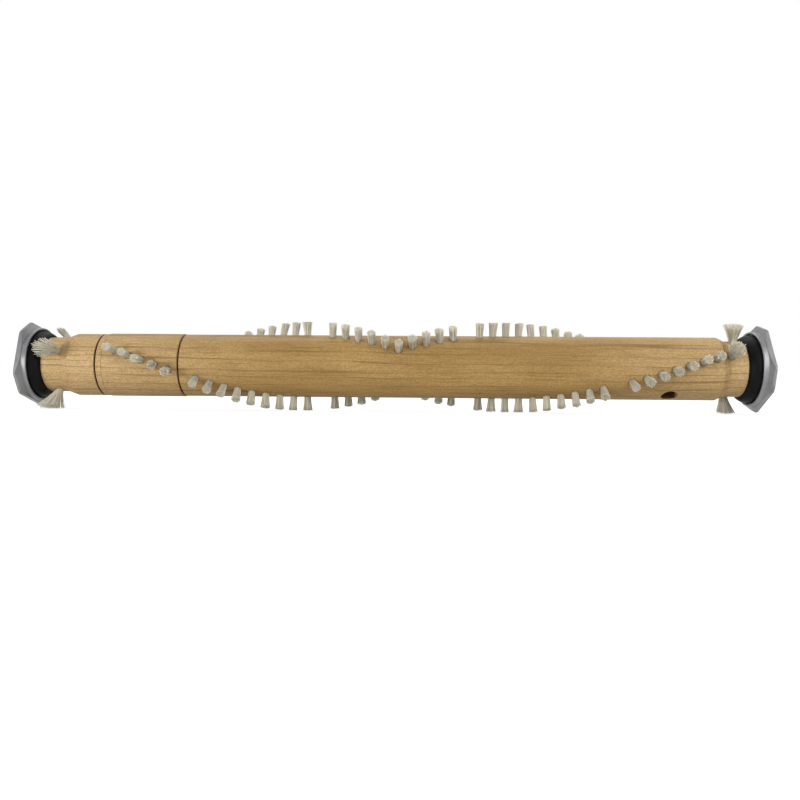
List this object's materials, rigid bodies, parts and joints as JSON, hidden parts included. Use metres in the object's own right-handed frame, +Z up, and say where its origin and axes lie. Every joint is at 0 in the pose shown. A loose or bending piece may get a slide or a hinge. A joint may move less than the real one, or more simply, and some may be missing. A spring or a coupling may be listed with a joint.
{
  "type": "vacuum brush roll",
  "caption": "Wooden vacuum cleaner brush roll with two spiral rows of nylon tufts, turning on ball bearings in grey end caps that are square with cut corners.",
  "frame": {"origin": "middle of the roll's axis, halfway between the outer faces of the two end caps", "axes": "+X along the roll's axis from the belt end to the other end, +Z up, -Y to the front as pictured"},
  "size_m": [0.297, 0.037, 0.0368],
  "materials": {
    "wood": "turned and lightly sealed",
    "nylon": "natural translucent filament",
    "black_plastic": "moulded satin",
    "grey_plastic": "moulded satin",
    "steel": "ground",
    "brass": "pressed",
    "felt": "pressed wool felt"
  },
  "bodies": {
    "left_cap": {"left_end_cap": "grey_plastic", "left_bearing_outer_race": "steel", "left_bearing_shields": "steel"},
    "roller": {"wood_roller": "wood", "row_a_tufts_1": "nylon", "row_a_tufts_2": "nylon", "row_a_tufts_3": "nylon", "row_a_tufts_4": "nylon", "row_a_tufts_5": "nylon", "row_b_tufts_1": "nylon", "row_b_tufts_2": "nylon", "row_b_tufts_3": "nylon", "row_b_tufts_4": "nylon", "row_b_tufts_5": "nylon", "left_edge_tufts": "nylon", "right_edge_tufts": "nylon", "row_a_anchors": "steel", "row_b_anchors": "steel", "left_edge_anchors": "steel", "right_edge_anchors": "steel", "left_stub_axle": "steel", "left_thread_guard": "black_plastic", "left_felt_washer": "felt", "left_retaining_clip": "steel", "left_bearing_inner_race": "steel", "right_stub_axle": "steel", "right_thread_guard": "black_plastic", "right_felt_washer": "felt", "right_retaining_clip": "steel", "right_bearing_inner_race": "steel"},
    "left_cage": {"left_bearing_cage": "brass", "left_bearing_balls": "steel"},
    "right_cap": {"right_end_cap": "grey_plastic", "right_bearing_outer_race": "steel", "right_bearing_shields": "steel"},
    "right_cage": {"right_bearing_cage": "brass", "right_bearing_balls": "steel"}
  },
  "joints": [
    {"name": "roller_spin", "type": "hinge", "parent": "left_cap", "child": "roller", "pos_m": [-0.1443, 0, 0], "axis": [1, 0, 0], "continuous": true},
    {"name": "left_cage_spin", "type": "hinge", "parent": "left_cap", "child": "left_cage", "pos_m": [-0.1443, 0, 0], "axis": [1, 0, 0], "continuous": true},
    {"name": "right_cap_spin", "type": "hinge", "parent": "roller", "child": "right_cap", "pos_m": [0.1443, 0, 0], "axis": [1, 0, 0], "continuous": true},
    {"name": "right_cage_spin", "type": "hinge", "parent": "roller", "child": "right_cage", "pos_m": [0.1443, 0, 0], "axis": [1, 0, 0], "continuous": true}
  ],
  "couplings": [
    {"joint": "left_cage_spin", "follows": "roller_spin", "ratio": 0.4008},
    {"joint": "right_cage_spin", "follows": "right_cap_spin", "ratio": 0.5992}
  ]
}
